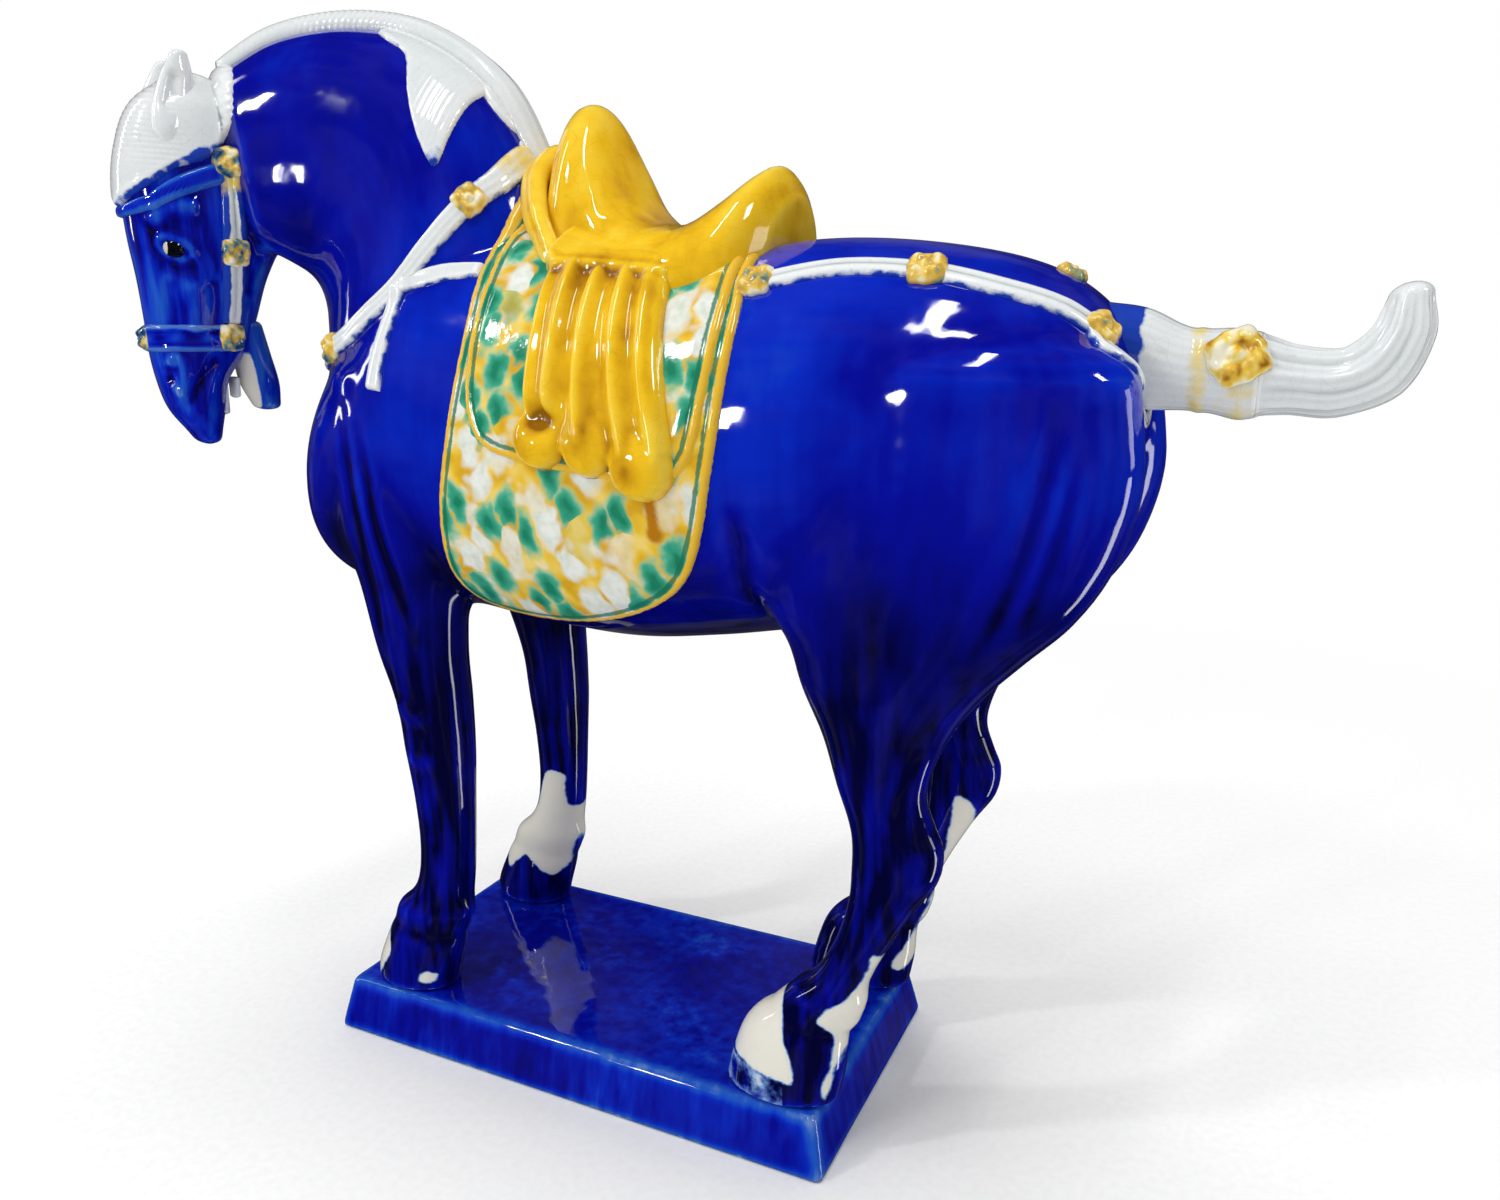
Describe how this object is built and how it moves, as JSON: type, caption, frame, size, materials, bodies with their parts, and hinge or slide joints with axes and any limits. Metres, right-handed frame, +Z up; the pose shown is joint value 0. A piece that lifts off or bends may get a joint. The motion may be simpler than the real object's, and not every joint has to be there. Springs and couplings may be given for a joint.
{
  "type": "ceramic horse figurine",
  "caption": "Glazed ceramic horse standing on a slab plinth, head turned to its left, with saddle, blankets and harness in relief; a table ornament.",
  "frame": {"origin": "Centre of the plinth's underside.", "axes": "+Z up; the horse faces -X with its tail toward +X, and its left flank is toward -Y."},
  "size_m": [0.5558, 0.1764, 0.5013],
  "materials": {
    "cobalt_glaze": "glossy cobalt-blue lead glaze over white clay, pooled dark in the grooves, pale at the edges",
    "cream_glaze": "glossy clear cream glaze over combed white clay, blue glaze bleeding in at the edges",
    "amber_glaze": "glossy amber glaze, darker in the folds",
    "mottled_glaze": "resist-spotted glaze: green leaf-shaped spots on a white and amber ground"
  },
  "bodies": {
    "root": {"plinth": "cobalt_glaze", "trunk": "cobalt_glaze", "neck": "cobalt_glaze", "head": "cobalt_glaze", "lower_jaw": "cobalt_glaze", "leg_front_left": "cobalt_glaze", "leg_front_right": "cobalt_glaze", "leg_hind_left": "cobalt_glaze", "leg_hind_right": "cobalt_glaze", "browband": "cobalt_glaze", "noseband": "cobalt_glaze", "upper_teeth": "cream_glaze", "lower_teeth": "cream_glaze", "tail_dock": "cream_glaze", "tail_plume": "cream_glaze", "mane_crest": "cream_glaze", "forelock": "cream_glaze", "eye_left": "cream_glaze", "eye_right": "cream_glaze", "ear_left": "cream_glaze", "ear_right": "cream_glaze", "mane_lock_left": "cream_glaze", "mane_lock_right": "cream_glaze", "mane_withers_left": "cream_glaze", "mane_withers_right": "cream_glaze", "strap_branch_left": "cream_glaze", "strap_branch_right": "cream_glaze", "strap_end_left": "cream_glaze", "strap_end_right": "cream_glaze", "cheek_strap_left": "cream_glaze", "cheek_strap_right": "cream_glaze", "breast_strap": "cream_glaze", "crupper_strap": "cream_glaze", "saddle": "amber_glaze", "saddle_cover": "amber_glaze", "saddle_pad": "amber_glaze", "breast_rosette_left": "amber_glaze", "breast_rosette_right": "amber_glaze", "breast_medallion_left": "amber_glaze", "breast_medallion_right": "amber_glaze", "crupper_tab_left": "amber_glaze", "crupper_tab_right": "amber_glaze", "crupper_rosette_left": "amber_glaze", "crupper_rosette_right": "amber_glaze", "crupper_stud_left": "amber_glaze", "crupper_stud_right": "amber_glaze", "brow_medallion_left": "amber_glaze", "brow_medallion_right": "amber_glaze", "cheek_medallion_left": "amber_glaze", "cheek_medallion_right": "amber_glaze", "noseband_medallion_left": "amber_glaze", "noseband_medallion_right": "amber_glaze", "nose_medallion": "amber_glaze", "croup_medallion": "amber_glaze", "tail_rosette": "amber_glaze", "lower_blanket": "mottled_glaze", "upper_blanket": "mottled_glaze"}
  },
  "joints": []
}
